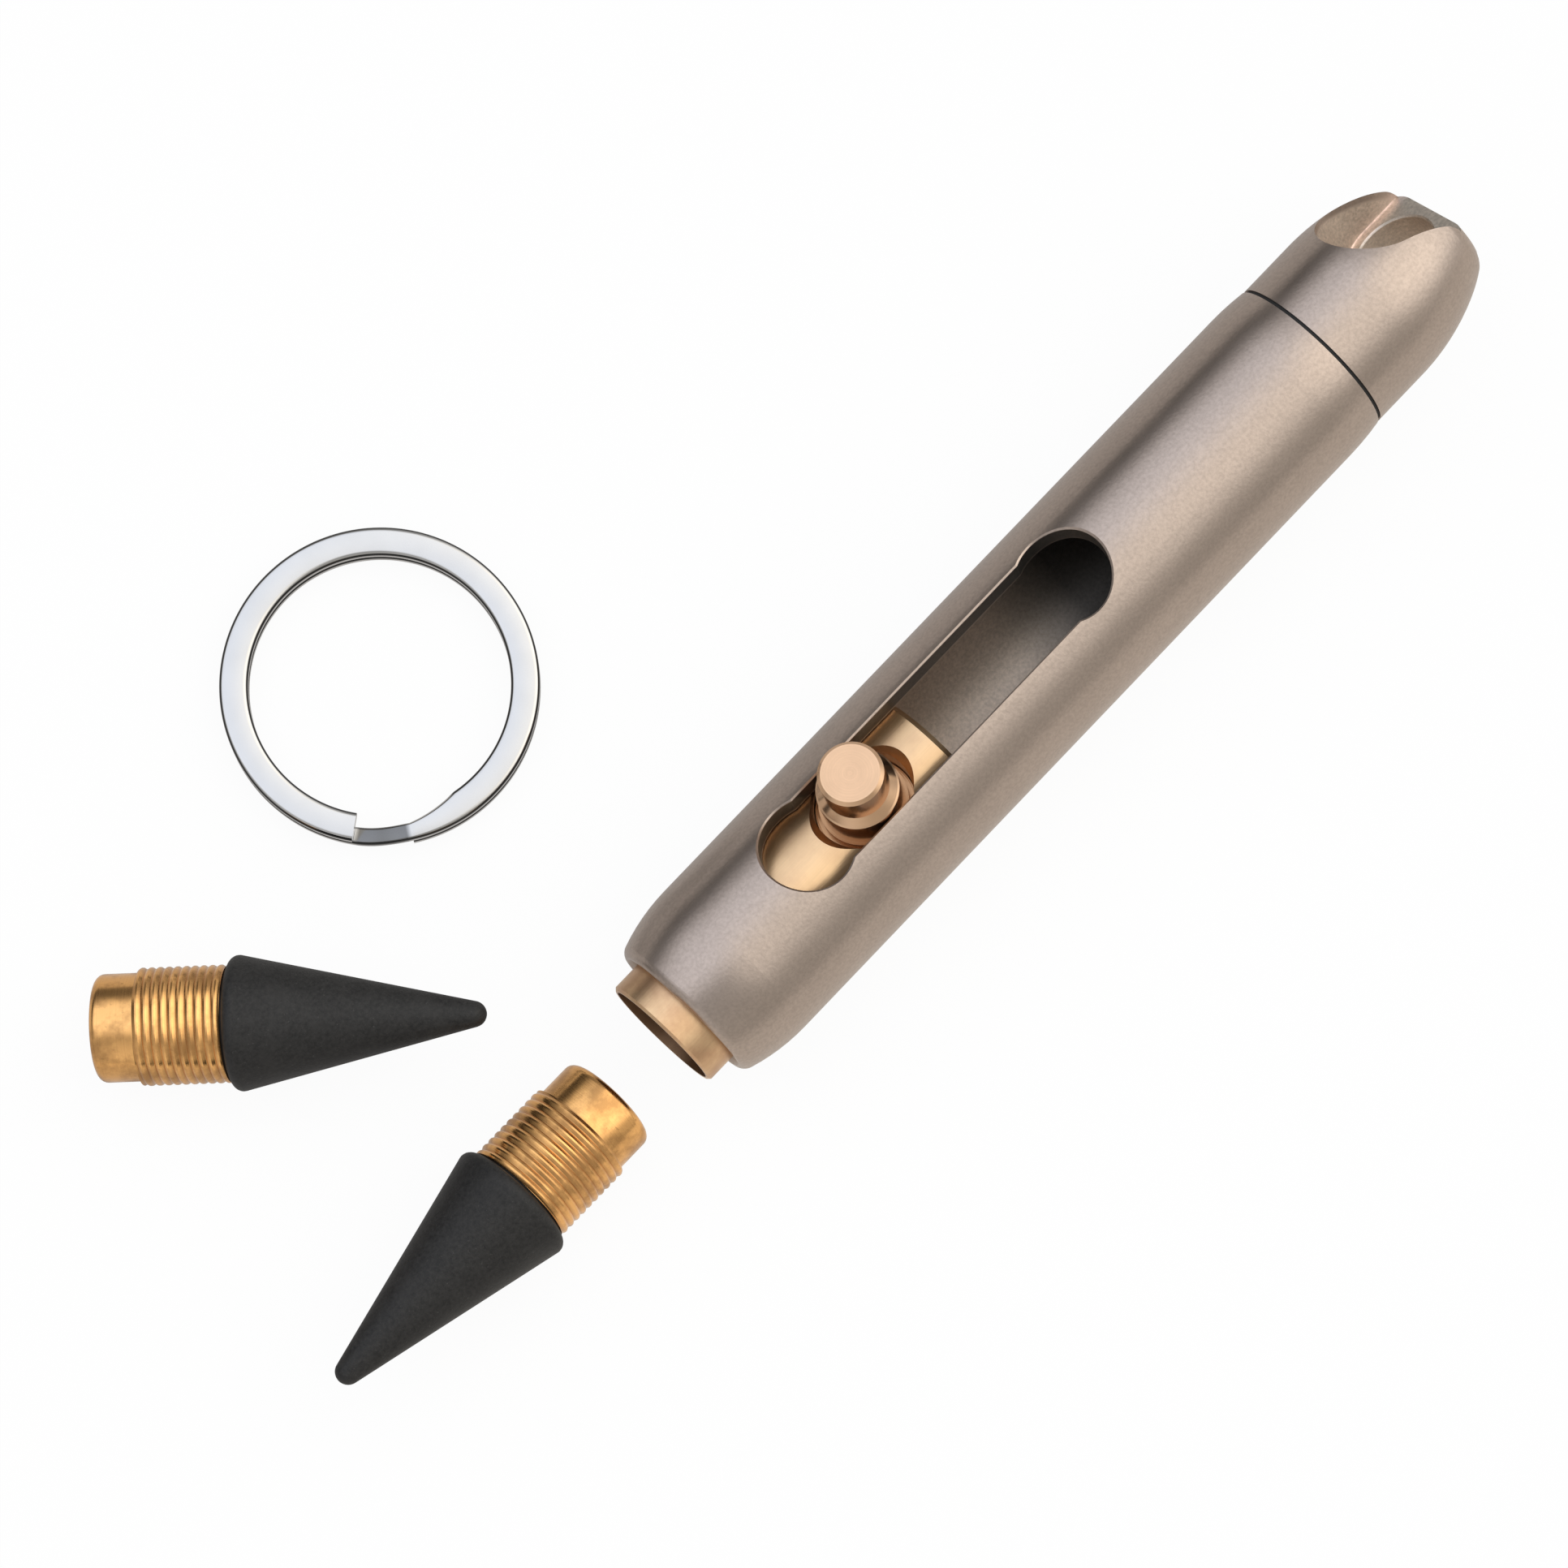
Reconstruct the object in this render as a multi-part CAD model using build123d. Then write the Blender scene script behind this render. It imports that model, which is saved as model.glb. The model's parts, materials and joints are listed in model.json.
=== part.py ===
from build123d import *
import math
import os

# Pocket pencil with a sliding tip carriage, two screw-in metal tips and a split key ring.
# Millimetres. The pencil lies along X with its tail towards +X, and +Z is up.
# The origin is the middle of the tip socket's mouth, on the pencil's axis.

# Barrel
barrel_diameter = 11.0
barrel_length = 51.8
bore_diameter = 8.0
nose_face_diameter = 9.0
nose_taper_diameter = 9.8
nose_taper_length = 4.2
nose_corner_length = 0.45
nose_mouth_chamfer = 0.3
tail_face_diameter = 10.66
tail_draw_in_length = 2.4
body_roll = 12.0

# Guide slot, with a round lock seat at each end
slot_start = 8.45
slot_length = 26.45
slot_width = 4.9
lock_seat_diameter = 5.5
slot_edge_chamfer = 0.12

# Tip carriage
carriage_length = 22.4
carriage_reach = 1.74
carriage_clearance = 0.05
collar_diameter = 7.45
collar_length = 7.0
carriage_chamfer = 0.3
collar_chamfer = 0.15
socket_depth = 5.3
socket_clearance = 0.05
pilot_bore_depth = 8.4

# Lock button, its spring and the recess that holds them
button_place = 17.12
recess_diameter = 5.9
recess_floor_wall = 1.35
recess_countersink = 0.45
lock_gap = 0.12
lock_seat_clearance = 0.175
lock_collar_height = 1.15
flange_thickness = 0.8
flange_clearance = 0.05
foot_clearance = 0.07
foot_height = 2.5
foot_chamfer = 0.1
foot_flare_height = 0.45
head_clearance = 0.55
head_stand_out = 2.7
head_chamfer = 0.2
stud_diameter = 2.4
stud_clearance = 0.05
stud_end_gap = 0.1
spring_wire = 0.45
spring_mean_diameter = 4.0
spring_turns = 3.5

# Tail cap and its seal
cap_diameter = 10.6
cap_length = 10.8
cap_straight_length = 3.6
cap_corner_diameter = 7.4
cap_corner_length = 0.75
cap_end_diameter = 5.0
cap_shoulder_width = 0.85
cap_thread_length = 4.5
cap_thread_pitch = 0.75
cap_thread_depth = 0.3
cap_thread_clearance = 0.05
cap_thread_end_gap = 0.5
seal_thickness = 0.22
seal_inset = 0.12
seal_bore_clearance = 0.1

# Ring seat in the tail cap: a round-ended pocket on each side, open at the tail, and a hole in its web
seat_turn = 32.5
seat_place = 7.65
seat_pocket_width = 6.25
seat_web_thickness = 2.0
seat_hole_diameter = 5.0
seat_edge_chamfer = 0.1

# Screw-in tips
cone_diameter = 8.0
cone_length = 14.55
cone_edge_radius = 0.55
cone_point_radius = 0.75
neck_diameter = 6.1
neck_length = 0.15
tip_thread_diameter = 6.7
tip_thread_depth = 0.11
tip_thread_length = 5.0
tip_thread_pitch = 0.5
tip_pilot_diameter = 6.15
tip_pilot_length = 2.55
tip_pilot_edge_radius = 0.5
tip_peg_diameter = 4.0
tip_peg_length = 4.0
pilot_bore_clearance = 0.1

# Where the loose pieces lie: middle of each piece on the floor, and the way each point looks
front_tip_place = (-15.5, -0.3)
front_tip_heading = 180.5
spare_tip_place = (-13.68, 15.77)
spare_tip_heading = -45.3
ring_place = (3.84, 26.0)

# Split key ring of two flat turns, with its band narrowed from inside where the turns join
ring_outer_diameter = 18.35
ring_band_width = 1.66
ring_edge_radius = 0.3
ring_joint_width = 1.0
ring_turn_thickness = 0.85
ring_turn_gap = 0.1
ring_ramp_start = -146.0
ring_ramp_angle = 22.0
ring_taper_angle = 22.0
ring_taper_overlap = 0.05

# Share of a pitch that is flat on a thread's crest, and room for telling edges apart
thread_crest_share = 0.2
edge_tolerance = 0.01

barrel_radius = barrel_diameter / 2
bore_radius = bore_diameter / 2
floor_height = -barrel_radius
nose_x = carriage_reach
tail_x = nose_x + barrel_length
cap_x = tail_x + seal_thickness

carriage_radius = bore_radius - carriage_clearance
socket_radius = tip_thread_diameter / 2 + socket_clearance
pilot_bore_radius = tip_pilot_diameter / 2 + pilot_bore_clearance
recess_radius = recess_diameter / 2
recess_floor = recess_floor_wall - carriage_radius

lock_collar_radius = lock_seat_diameter / 2 - lock_seat_clearance
lock_collar_top = math.sqrt((bore_radius - lock_gap) ** 2 - lock_collar_radius**2)
flange_top = lock_collar_top - lock_collar_height
flange_bottom = flange_top - flange_thickness
foot_radius = slot_width / 2 - foot_clearance
foot_top = lock_collar_top + foot_height
head_radius = slot_width / 2 - head_clearance
head_top = barrel_radius + head_stand_out

cap_thread_radius = cap_diameter / 2 - cap_shoulder_width


def turned(*outline):
    """Solid of revolution about X from a chain of curves, in distance along X and radius."""
    edges = [edge for curve in outline for edge in curve.edges()]
    return revolve(make_face(edges), Axis.X)


def upright(*outline):
    """Solid of revolution about the button's axis from a chain of points, in radius and height."""
    face = make_face(Polyline(*outline, close=True))
    return Pos(X=button_place) * revolve(Plane.XZ * face, Axis.Z)


def rolled(shape):
    """Turn a piece of the pencil about its axis to the way the pencil lies."""
    return Rot(X=-body_roll) * shape


def thread_points(start, length, radius, depth, pitch):
    """Crests and roots of a screw thread along X."""
    count = max(1, round(length / pitch))
    step = length / count
    half_crest = thread_crest_share * step / 2
    points = [(start, radius - depth)]
    for turn in range(count):
        crest = start + (turn + 0.5) * step
        points.append((crest - half_crest, radius))
        points.append((crest + half_crest, radius))
        points.append((start + (turn + 1) * step, radius - depth))
    return points


def make_barrel():
    nose_radius = nose_face_diameter / 2
    taper_end = (nose_x + nose_corner_length, nose_taper_diameter / 2)
    taper = TangentArc((nose_x + nose_taper_length, barrel_radius), taper_end, tangent=(-1, 0))
    corner = TangentArc(taper @ 1, (nose_x, nose_radius), tangent=taper % 1)
    draw_in_start = (tail_x - tail_draw_in_length, barrel_radius)
    draw_in = TangentArc(draw_in_start, (tail_x, tail_face_diameter / 2), tangent=(1, 0))
    thread_bore = cap_thread_radius + cap_thread_clearance
    thread_end = tail_x - cap_thread_length - cap_thread_end_gap
    inside = Polyline(
        draw_in @ 1,
        (tail_x, thread_bore),
        (thread_end, thread_bore),
        (thread_end, bore_radius),
        (nose_x + nose_mouth_chamfer, bore_radius),
        (nose_x, bore_radius + nose_mouth_chamfer),
        corner @ 1,
    )
    barrel = turned(taper, corner, inside, draw_in, Line(taper @ 0, draw_in @ 0))
    seat_radius = lock_seat_diameter / 2
    first_seat = nose_x + slot_start + seat_radius
    last_seat = nose_x + slot_start + slot_length - seat_radius
    channel = Pos(X=(first_seat + last_seat) / 2) * Rectangle(last_seat - first_seat, slot_width)
    outline = channel + [Pos(X=x) * Circle(seat_radius) for x in (first_seat, last_seat)]
    barrel -= extrude(outline, barrel_diameter)
    rim = [edge for edge in barrel.edges() if on_slot_rim(edge @ 0.5)]
    return rolled(chamfer(rim, slot_edge_chamfer))


def on_slot_rim(point):
    slot_x = nose_x + slot_start
    inside_slot = slot_x - edge_tolerance < point.X < slot_x + slot_length + edge_tolerance
    outside_face = math.hypot(point.Y, point.Z) > barrel_radius - edge_tolerance
    return inside_slot and outside_face and point.Z > 0 and abs(point.Y) < lock_seat_diameter


def make_carriage():
    collar_radius = collar_diameter / 2
    outline = Polyline(
        (0, socket_radius),
        (0, collar_radius - collar_chamfer),
        (collar_chamfer, collar_radius),
        (collar_length, collar_radius),
        (collar_length + carriage_chamfer, carriage_radius),
        (carriage_length - carriage_chamfer, carriage_radius),
        (carriage_length, carriage_radius - carriage_chamfer),
        (carriage_length, 0),
        (pilot_bore_depth, 0),
        (pilot_bore_depth, pilot_bore_radius),
        (socket_depth, pilot_bore_radius),
        (socket_depth, socket_radius),
        close=True,
    )
    recess = upright(
        (0, recess_floor),
        (recess_radius, recess_floor),
        (recess_radius, carriage_radius - recess_countersink),
        (recess_radius + 2 * recess_countersink, carriage_radius + recess_countersink),
        (0, carriage_radius + recess_countersink),
    )
    return rolled(turned(outline) - recess)


def make_lock_collar():
    hole_radius = stud_diameter / 2 + stud_clearance
    flange_radius = recess_radius - flange_clearance
    return rolled(
        upright(
            (hole_radius, flange_bottom),
            (flange_radius, flange_bottom),
            (flange_radius, flange_top),
            (lock_collar_radius, flange_top),
            (lock_collar_radius, lock_collar_top),
            (hole_radius, lock_collar_top),
        )
    )


def make_button_head():
    stud_radius = stud_diameter / 2
    return rolled(
        upright(
            (0, flange_bottom + stud_end_gap),
            (stud_radius, flange_bottom + stud_end_gap),
            (stud_radius, lock_collar_top),
            (foot_radius, lock_collar_top),
            (foot_radius, foot_top - foot_chamfer),
            (foot_radius - foot_chamfer, foot_top),
            (head_radius, foot_top + foot_flare_height),
            (head_radius, head_top - head_chamfer),
            (head_radius - head_chamfer, head_top),
            (0, head_top),
        )
    )


def make_button_spring():
    height = flange_bottom - recess_floor - spring_wire
    pitch = height / spring_turns
    print(f"button spring: {pitch - spring_wire:.2f} mm between turns")
    path = Helix(pitch, height, spring_mean_diameter / 2)
    section = Plane(path @ 0, z_dir=path % 0) * Circle(spring_wire / 2)
    coil = sweep(section, path, is_frenet=True)
    return rolled(Pos(button_place, 0, recess_floor + spring_wire / 2) * coil)


def make_tail_cap():
    straight_end = (cap_x + cap_straight_length, cap_diameter / 2)
    cap_end = cap_x + cap_length
    corner_start = (cap_end - cap_corner_length, cap_corner_diameter / 2)
    shoulder = TangentArc(straight_end, corner_start, tangent=(1, 0))
    corner = TangentArc(shoulder @ 1, (cap_end, cap_end_diameter / 2), tangent=shoulder % 1)
    stub_start = cap_x - seal_thickness - cap_thread_length
    stub = (stub_start, cap_thread_length)
    thread = thread_points(*stub, cap_thread_radius, cap_thread_depth, cap_thread_pitch)
    neck_radius = cap_thread_radius - cap_thread_depth
    rest = Polyline(
        corner @ 1,
        (cap_end, 0),
        (stub_start, 0),
        *thread,
        (cap_x, neck_radius),
        (cap_x, cap_diameter / 2),
        straight_end,
    )
    cap = turned(shoulder, corner, rest)
    seat_x = cap_x + seat_place
    pocket = Pos(X=seat_x) * Circle(seat_pocket_width / 2)
    pocket += Pos(X=seat_x + cap_length / 2) * Rectangle(cap_length, seat_pocket_width)
    cap -= Pos(X=seat_x) * Cylinder(seat_hole_diameter / 2, cap_diameter)
    for side in (1, -1):
        cap -= Pos(Z=side * seat_web_thickness / 2) * extrude(pocket, side * cap_diameter)
    rims = cap.edges().filter_by(GeomType.CIRCLE).filter_by(lambda edge: on_hole_rim(edge, seat_x))
    cap = chamfer(rims, seat_edge_chamfer)
    return rolled(Rot(X=-seat_turn) * cap)


def on_hole_rim(edge, seat_x):
    centred = abs(edge.arc_center.X - seat_x) < edge_tolerance
    return centred and abs(edge.radius - seat_hole_diameter / 2) < edge_tolerance


def make_cap_seal():
    inner = cap_thread_radius + seal_bore_clearance
    outer = cap_diameter / 2 - seal_inset
    return turned(Polyline((tail_x, inner), (tail_x, outer), (cap_x, outer), (cap_x, inner), close=True))


def make_tip_cone():
    base_radius = cone_diameter / 2
    centre = cone_length - cone_point_radius
    reach = math.hypot(centre, base_radius)
    lean = math.atan2(base_radius, centre) - math.asin(cone_point_radius / reach)
    side_end = (
        -centre - cone_point_radius * math.sin(lean),
        cone_point_radius * math.cos(lean),
    )
    nose = TangentArc(side_end, (-cone_length, 0), tangent=(-math.cos(lean), -math.sin(lean)))
    rest = Polyline(
        (-cone_length, 0),
        (-tip_peg_length, 0),
        (-tip_peg_length, tip_peg_diameter / 2),
        (neck_length, tip_peg_diameter / 2),
        (neck_length, neck_diameter / 2),
        (0, neck_diameter / 2),
        (0, base_radius),
        side_end,
    )
    cone = turned(nose, rest)
    rim = cone.edges().filter_by(GeomType.CIRCLE).sort_by(SortBy.RADIUS)[-1]
    return fillet(rim, cone_edge_radius)


def tip_thread_points():
    radius = tip_thread_diameter / 2
    return thread_points(neck_length, tip_thread_length, radius, tip_thread_depth, tip_thread_pitch)


def make_tip_ferrule():
    thread_end = neck_length + tip_thread_length
    end = thread_end + tip_pilot_length
    ferrule = turned(
        Polyline(
            (-tip_peg_length, 0),
            (-tip_peg_length, tip_peg_diameter / 2),
            (neck_length, tip_peg_diameter / 2),
            *tip_thread_points(),
            (thread_end, tip_pilot_diameter / 2),
            (end, tip_pilot_diameter / 2),
            (end, 0),
            close=True,
        )
    )
    return fillet(ferrule.edges().sort_by(Axis.X)[-1], tip_pilot_edge_radius)


def lay_tip(place, heading):
    """A tip's cone and ferrule on the floor, resting on the cone's rim and the thread's last crest."""
    last_crest = tip_thread_points()[-2][0]
    rise = math.degrees(math.atan2((cone_diameter - tip_thread_diameter) / 2, last_crest))
    middle = (neck_length + tip_thread_length + tip_pilot_length - cone_length) / 2
    pose = Pos(place[0], place[1], 0) * Rot(Z=heading - 180) * Rot(Y=rise) * Pos(X=-middle)
    laid = [pose * make_tip_cone(), pose * make_tip_ferrule()]
    lowest = min(piece.bounding_box().min.Z for piece in laid)
    return [Pos(Z=floor_height - lowest) * piece for piece in laid]


def make_key_ring():
    """Two flat turns joined by one ramp, where the wire climbs from the lower turn to the upper."""
    half = ring_turn_thickness / 2
    climb = ring_turn_thickness + ring_turn_gap
    turn_angle = 360 - ring_ramp_angle
    ramp_end = ring_ramp_start + ring_ramp_angle
    low_section = ring_section(ring_ramp_start, half)
    high_section = ring_section(ramp_end, half + climb)
    lower = revolve(low_section, Axis.Z, -turn_angle) + loft([low_section, high_section])
    upper = revolve(high_section, Axis.Z, turn_angle)
    ring = (lower - ring_narrowing(-1)) + (upper - ring_narrowing(0))
    return Pos(ring_place[0], ring_place[1], floor_height) * ring


def ring_section(angle, height):
    """Section of the ring's band at an angle about its middle, with its own middle at a height."""
    middle = (ring_outer_diameter - ring_band_width) / 2
    out = Vector(1, 0, 0).rotate(Axis.Z, angle)
    across = Plane(out * middle + Vector(0, 0, height), x_dir=out, z_dir=Vector(0, 0, 1).cross(out))
    return across * RectangleRounded(ring_band_width, ring_turn_thickness, ring_edge_radius)


def ring_narrowing(side):
    """Prism that narrows the band at the joint, on both sides of it or only where the upper turn starts."""
    inner = ring_outer_diameter / 2 - ring_band_width
    flat = ring_outer_diameter / 2 - ring_joint_width
    flat_end = flat * math.tan(math.radians(ring_ramp_angle / 2))
    taper = math.radians(ring_ramp_angle / 2 + ring_taper_angle)
    taper_x = (inner - ring_taper_overlap) * math.cos(taper)
    taper_y = (inner - ring_taper_overlap) * math.sin(taper)
    outline = Polyline(
        (flat, side * flat_end),
        (flat, flat_end),
        (taper_x, taper_y),
        (taper_x, side * taper_y),
        close=True,
    )
    height = 2 * ring_turn_thickness + ring_turn_gap
    return Rot(Z=ring_ramp_start + ring_ramp_angle / 2) * extrude(make_face(outline), height)


front_cone, front_ferrule = lay_tip(front_tip_place, front_tip_heading)
spare_cone, spare_ferrule = lay_tip(spare_tip_place, spare_tip_heading)

nodes = {
    "barrel": make_barrel(),
    "carriage": make_carriage(),
    "lock_collar": make_lock_collar(),
    "button_head": make_button_head(),
    "button_spring": make_button_spring(),
    "tail_cap": make_tail_cap(),
    "cap_seal": make_cap_seal(),
    "front_tip_cone": front_cone,
    "front_tip_ferrule": front_ferrule,
    "spare_tip_cone": spare_cone,
    "spare_tip_ferrule": spare_ferrule,
    "key_ring": make_key_ring(),
}

os.makedirs("parts", exist_ok=True)
for name, shape in nodes.items():
    export_step(shape, f"parts/{name}.step")
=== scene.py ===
import json
import math

import bpy
from mathutils import Matrix, Vector


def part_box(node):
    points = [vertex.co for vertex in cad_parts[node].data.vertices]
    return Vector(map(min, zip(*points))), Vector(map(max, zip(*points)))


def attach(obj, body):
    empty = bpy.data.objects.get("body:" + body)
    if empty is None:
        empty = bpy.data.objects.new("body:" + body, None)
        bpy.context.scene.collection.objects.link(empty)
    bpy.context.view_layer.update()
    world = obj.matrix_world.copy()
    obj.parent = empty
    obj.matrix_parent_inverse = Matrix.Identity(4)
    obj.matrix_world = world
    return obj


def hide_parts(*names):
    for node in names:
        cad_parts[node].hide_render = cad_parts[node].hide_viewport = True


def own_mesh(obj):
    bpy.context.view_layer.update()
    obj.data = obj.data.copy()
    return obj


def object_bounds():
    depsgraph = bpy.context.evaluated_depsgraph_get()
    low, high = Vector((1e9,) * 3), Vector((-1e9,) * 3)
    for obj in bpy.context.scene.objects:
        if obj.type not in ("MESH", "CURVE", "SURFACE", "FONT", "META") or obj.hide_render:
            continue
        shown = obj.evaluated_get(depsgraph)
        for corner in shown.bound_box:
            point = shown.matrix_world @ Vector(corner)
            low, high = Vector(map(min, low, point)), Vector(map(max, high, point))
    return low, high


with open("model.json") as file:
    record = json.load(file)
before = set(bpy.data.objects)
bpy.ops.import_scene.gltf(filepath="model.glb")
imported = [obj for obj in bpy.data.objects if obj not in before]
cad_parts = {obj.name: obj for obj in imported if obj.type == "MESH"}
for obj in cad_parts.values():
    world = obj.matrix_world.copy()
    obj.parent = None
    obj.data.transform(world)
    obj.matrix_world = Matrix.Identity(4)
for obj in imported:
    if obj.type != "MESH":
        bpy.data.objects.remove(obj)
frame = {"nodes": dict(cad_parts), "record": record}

bl_info = {
    "name": "Pocket Metal Pencil",
    "version": (1, 0, 0),
    "blender": (4, 5, 0),
    "location": "3D View > Sidebar > Pencil",
    "description": "Finishes a pocket metal pencil, its tips and its ring, and sets their studio",
    "category": "Object",
}

CAD_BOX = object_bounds()

# The photograph is a square of 1932 pixels, taken from above with a long lens
PHOTO_SIDE = 1932
LENS_IN_PIXELS = 9900.0
SENSOR_WIDTH = 36.0
NEAR_CLIP = 0.01

# The cap's curve: where along X it starts, how long it is, how far it drops, and the cap's radius
CAP_CURVE_START = 0.05736
CAP_CURVE_LENGTH = 0.00645
CAP_CURVE_DROP = 0.0016
CAP_RADIUS = 0.0053

# Where the lock button stands along X, and how far it and the ring seat lean from upright
BUTTON_PLACE = 0.01712
BUTTON_LEAN = math.radians(12.0)
SEAT_LEAN = math.radians(44.5)

# Where the patches of a finish start and where they are full, along X; painted shade fills those in
# the bore's far end, on the slot's walls and in the carriage's socket
BORE_FAR_END_SHADE = (0.030, 0.035)
SLOT_START = (0.0090, 0.0095)
SLOT_END = (0.0377, 0.0372)
SOCKET_FLOOR = (0.0092, 0.0088)
MOUTH = (0.0045, 0.0012)

# The same from the pencil's axis outward, for the bore, the slot's walls and the socket; the last
# two get painted shade
BORE_WALL = (0.00424, 0.004)
SLOT_FOOT = (0.00408, 0.0042)
SLOT_EDGE = (0.00538, 0.00528)
SOCKET_WALL = (0.003468, 0.0034)

# The same under the cap's curve, up from the ring seat's middle and across it, where a highlight is
# painted on the web, and up the button, where shade is painted
SEAT_DEPTH = (0.0002, 0.0004)
WEB_FOOT = (0.00085, 0.00095)
WEB_TOP = (0.0011, 0.00105)
WEB_HIGHLIGHT = (0.0023, 0.0028)
# Up the button: where its painted shade fades out, and below which it is full
BUTTON_SHADE = (0.0053, 0.0045)

# The same at a dark edge of the split ring, where a dark reflection is painted, in shares of its
# rounding, and beside the ring's ramp, where shade is painted
RIM_FROM_FACE = (0.5, 0.3)
RIM_FROM_SIDE = (0.02, 0.06)
RAMP_FADE = (0.0, 0.00005)

# How much of the floor's white the camera and the metal see, and which directions are warm
FLOOR_SEEN = 0.94
FLOOR_MIRRORED = 0.85
FLOOR_PAINT = (0.9, 0.9, 0.9, 1.0)
WARM_SIDE = (-0.3, -0.9)

# How finely round pieces are divided, and the angle up to which their edges are smoothed
ROUND_STEPS = 96
RING_STEPS = 180
EDGE_STEPS = 6
WIRE_STEPS = 20
SMOOTH_SCREW = math.radians(25.0)
SMOOTH_RING = math.radians(30.0)
SMOOTH_WIRE = math.radians(40.0)
MERGE_DISTANCE = 0.000001

# Shares of a pitch that the thread's ridge takes, share of its depth where the painted shade fades,
# spare turns
RIDGE_FOOT_SHARE = 0.94
RIDGE_CREST_SHARE = 0.2
ROOT_FADE_SHARE = 0.25
SPARE_TURNS = 3

X_AXIS = (1.0, 0.0, 0.0)
Y_AXIS = (0.0, 1.0, 0.0)
WHITE = (1.0, 1.0, 1.0, 1.0)


# Shader writing


class Value:
    """A shader socket that takes part in Python arithmetic by adding Math nodes."""

    def __init__(self, tree, socket):
        self.tree = tree
        self.socket = socket

    def _math(self, operation, *operands):
        node = self.tree.nodes.new("ShaderNodeMath")
        node.operation = operation
        for place, operand in enumerate(operands):
            feed(self.tree, node.inputs[place], operand)
        return Value(self.tree, node.outputs[0])

    def __add__(self, other):
        return self._math("ADD", self, other)

    def __radd__(self, other):
        return self._math("ADD", other, self)

    def __sub__(self, other):
        return self._math("SUBTRACT", self, other)

    def __rsub__(self, other):
        return self._math("SUBTRACT", other, self)

    def __mul__(self, other):
        return self._math("MULTIPLY", self, other)

    def __rmul__(self, other):
        return self._math("MULTIPLY", other, self)

    def __pow__(self, other):
        return self._math("POWER", self, other)

    def root(self):
        return self._math("SQRT", self)

    def largest(self, other):
        return self._math("MAXIMUM", self, other)

    def swing(self, width):
        """A value between 0 and 1, as a change of that width around nothing."""
        return width * (self - 0.5)


def feed(tree, socket, value):
    """Link a socket to a Value, or set it to a plain number, colour or vector."""
    if isinstance(value, Value):
        tree.links.new(value.socket, socket)
    else:
        socket.default_value = value


class Shader:
    """A node tree with one method that adds any node."""

    def __init__(self, tree):
        self.tree = tree
        tree.nodes.clear()

    def add(self, kind, settings=None, sockets=None):
        """Add a node, set its settings, then feed its sockets. Returns its outputs by name."""
        node = self.tree.nodes.new(kind)
        for name, setting in (settings or {}).items():
            setattr(node, name, setting)
        for name, value in (sockets or {}).items():
            feed(self.tree, node.inputs[name], value)
        return {output.identifier: Value(self.tree, output) for output in node.outputs}

    def noise(self, coordinates, scale, detail=2.0, roughness=0.5):
        sockets = {"Vector": coordinates, "Scale": scale, "Detail": detail, "Roughness": roughness}
        return self.add("ShaderNodeTexNoise", {}, sockets)["Fac"]

    def mapped(self, scale=(1.0, 1.0, 1.0), shift=(0.0, 0.0, 0.0), turn=(0.0, 0.0, 0.0)):
        """Object coordinates, moved, turned and stretched."""
        place = self.add("ShaderNodeTexCoord")["Object"]
        sockets = {"Vector": place, "Location": shift, "Rotation": turn, "Scale": scale}
        return self.add("ShaderNodeMapping", {"vector_type": "POINT"}, sockets)["Vector"]

    def along(self, axis):
        """How far along an axis a point lies."""
        return self.dot(self.add("ShaderNodeTexCoord")["Object"], axis)

    def dot(self, first, second):
        sockets = {0: first, 1: second}
        return self.add("ShaderNodeVectorMath", {"operation": "DOT_PRODUCT"}, sockets)["Value"]

    def parts(self, vector):
        return self.add("ShaderNodeSeparateXYZ", {}, {"Vector": vector})

    def distance_from_x(self):
        """How far a point lies from the pencil's axis."""
        parts = self.parts(self.add("ShaderNodeTexCoord")["Object"])
        return across(parts, "Y", "Z")

    def lines(self, value, scale):
        """Uneven lines across a value."""
        sockets = {"W": value, "Scale": scale, "Detail": 3.0}
        return self.add("ShaderNodeTexNoise", {"noise_dimensions": "1D"}, sockets)["Fac"]

    def spread(self, value, low, high):
        """Map a value from the range low to high onto 0 to 1, clamped."""
        sockets = {"Value": value, "From Min": low, "From Max": high, "To Min": 0.0, "To Max": 1.0}
        return self.add("ShaderNodeMapRange", {"clamp": True}, sockets)["Result"]

    def mix(self, factor, first, second):
        """Mix two colours."""
        sockets = {"Factor": factor, 6: first, 7: second}
        return self.add("ShaderNodeMix", {"data_type": "RGBA"}, sockets)["Result_Color"]

    def tones(self, factor, colour, low, high):
        """Mix a darker and a lighter shade of one colour."""
        return self.mix(factor, rgba(shade(colour, low)), rgba(shade(colour, high)))

    def bump(self, height, strength, distance):
        sockets = {"Height": height, "Strength": strength, "Distance": distance}
        return self.add("ShaderNodeBump", {}, sockets)["Normal"]

    def surface(self, sockets):
        """Finish the tree with one Principled surface."""
        shader = self.add("ShaderNodeBsdfPrincipled", {}, sockets)["BSDF"]
        self.add("ShaderNodeOutputMaterial", {}, {"Surface": shader})


def across(parts, first, second):
    """How far a point lies from an axis, by its two parts across that axis."""
    return (parts[first] * parts[first] + parts[second] * parts[second]).root()


def new_finish(name):
    """A new material and the shader that fills it."""
    material = bpy.data.materials.new(name)
    material.use_nodes = True
    return material, Shader(material.node_tree)


def rgba(colour):
    return (colour[0], colour[1], colour[2], 1.0)


def shade(colour, factor):
    """A colour made darker or lighter, up to white."""
    return tuple(min(1.0, channel * factor) for channel in colour)


def dress(material, *nodes):
    """Give CAD nodes a finish."""
    for node in nodes:
        for slot in frame["nodes"][node].material_slots:
            slot.material = material


# Finishes


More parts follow.
